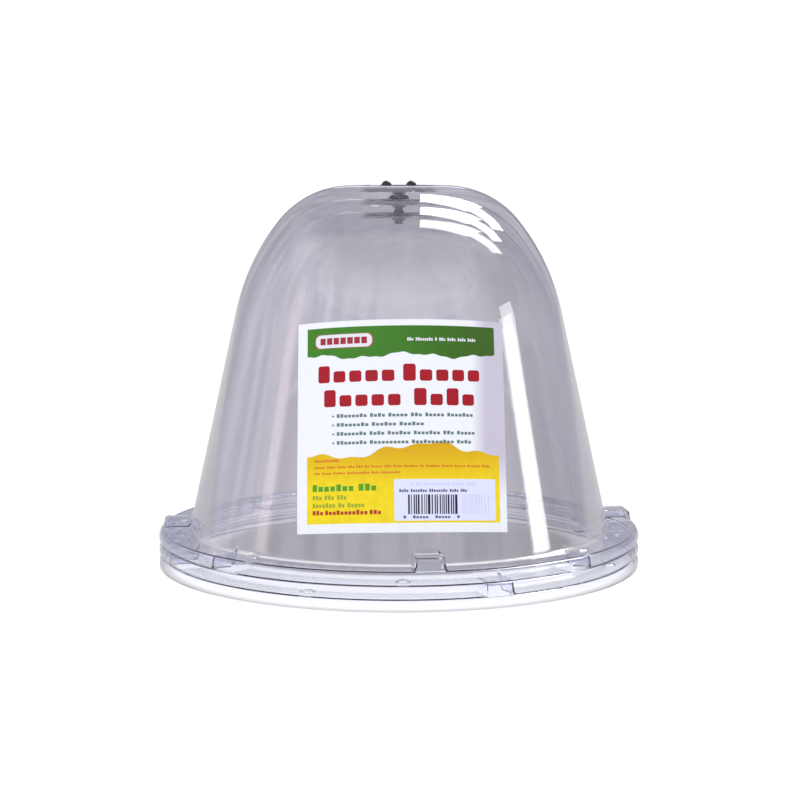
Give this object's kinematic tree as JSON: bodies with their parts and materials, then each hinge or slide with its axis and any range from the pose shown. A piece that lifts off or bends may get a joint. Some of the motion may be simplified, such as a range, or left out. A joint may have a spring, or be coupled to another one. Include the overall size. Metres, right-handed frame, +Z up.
{
  "type": "plant bell cloche stack",
  "caption": "Nested stack of clear plastic garden bells, each with a wide pegging flange and a turning vent in its crown, and a paper label on the outermost bell.",
  "frame": {"origin": "middle of the stack's foot, on the surface it stands on", "axes": "+Z up along the bells' axis, -Y towards the front, where the label is"},
  "size_m": [0.33, 0.33, 0.2615],
  "materials": {
    "clear_sheet": "clear formed sheet",
    "black_plastic": "moulded, glossy",
    "label_paper": "coated printed paper",
    "sticker_paper": "coated printed paper"
  },
  "bodies": {
    "bottom_bell": {"bottom_shell": "clear_sheet"},
    "bottom_vent": {"bottom_vent_disc": "black_plastic", "bottom_knob_a": "black_plastic", "bottom_knob_b": "black_plastic", "bottom_pivot_pin": "black_plastic", "bottom_washer": "black_plastic"},
    "middle_bell": {"middle_shell": "clear_sheet"},
    "middle_vent": {"middle_vent_disc": "black_plastic", "middle_knob_a": "black_plastic", "middle_knob_b": "black_plastic", "middle_pivot_pin": "black_plastic", "middle_washer": "black_plastic"},
    "top_bell": {"top_shell": "clear_sheet", "label_sheet": "label_paper", "barcode_sticker": "sticker_paper"},
    "top_vent": {"top_vent_disc": "black_plastic", "top_knob_a": "black_plastic", "top_knob_b": "black_plastic", "top_pivot_pin": "black_plastic", "top_washer": "black_plastic"}
  },
  "joints": [
    {"name": "bottom_vent_turn", "type": "hinge", "parent": "bottom_bell", "child": "bottom_vent", "pos_m": [0, 0, 0.2382], "axis": [0, 0, 1], "range_deg": [-22, 23]},
    {"name": "middle_bell_lift", "type": "slide", "parent": "bottom_bell", "child": "middle_bell", "axis": [0, 0, 1], "range_m": [0, 0.25]},
    {"name": "middle_vent_turn", "type": "hinge", "parent": "middle_bell", "child": "middle_vent", "pos_m": [0, 0, 0.2469], "axis": [0, 0, 1], "range_deg": [-24, 21]},
    {"name": "top_bell_lift", "type": "slide", "parent": "middle_bell", "child": "top_bell", "axis": [0, 0, 1], "range_m": [0, 0.25]},
    {"name": "top_vent_turn", "type": "hinge", "parent": "top_bell", "child": "top_vent", "pos_m": [0, 0, 0.2556], "axis": [0, 0, 1], "range_deg": [-38, 7]}
  ]
}
